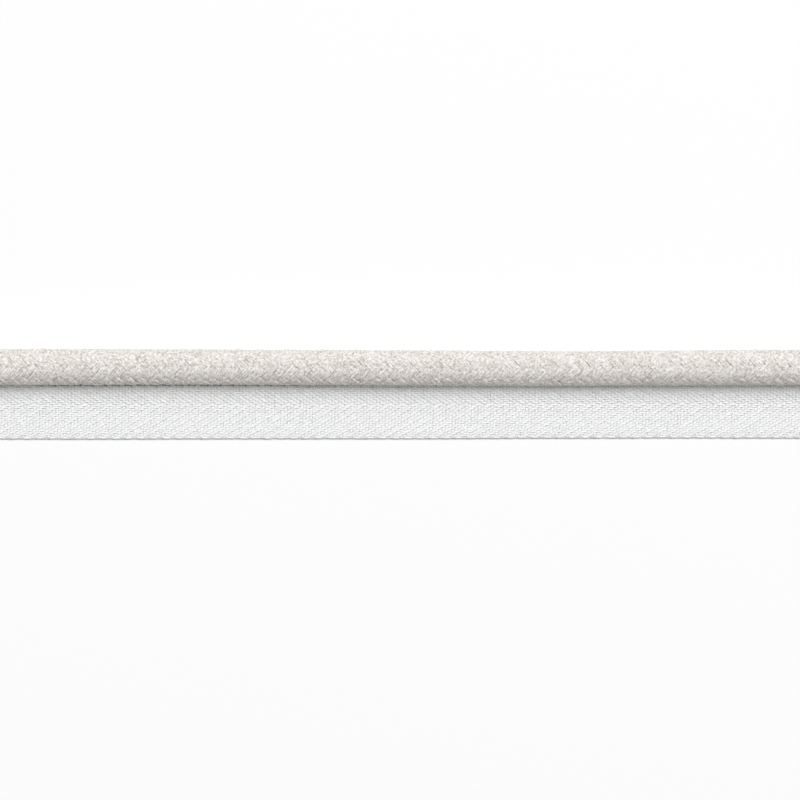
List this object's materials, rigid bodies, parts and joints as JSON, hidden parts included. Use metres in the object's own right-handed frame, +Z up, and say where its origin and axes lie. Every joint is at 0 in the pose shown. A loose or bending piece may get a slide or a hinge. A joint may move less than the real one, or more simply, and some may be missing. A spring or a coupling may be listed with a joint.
{
  "type": "cut length of lip cord",
  "caption": "Cut length of lip cord: a round braided cord with a herringbone twill tape along its side, the lip that is sewn into a seam.",
  "frame": {"origin": "middle of the footprint, on the surface that the cord and the tape lie on", "axes": "+X along the cord, +Y from the lip's free edge towards the cord, +Z up from the surface"},
  "size_m": [0.1524, 0.016, 0.006],
  "materials": {
    "cord_yarn": "matte",
    "tape_cloth": "matte"
  },
  "bodies": {
    "root": {"cord": "cord_yarn", "lip_tape": "tape_cloth"}
  },
  "joints": []
}
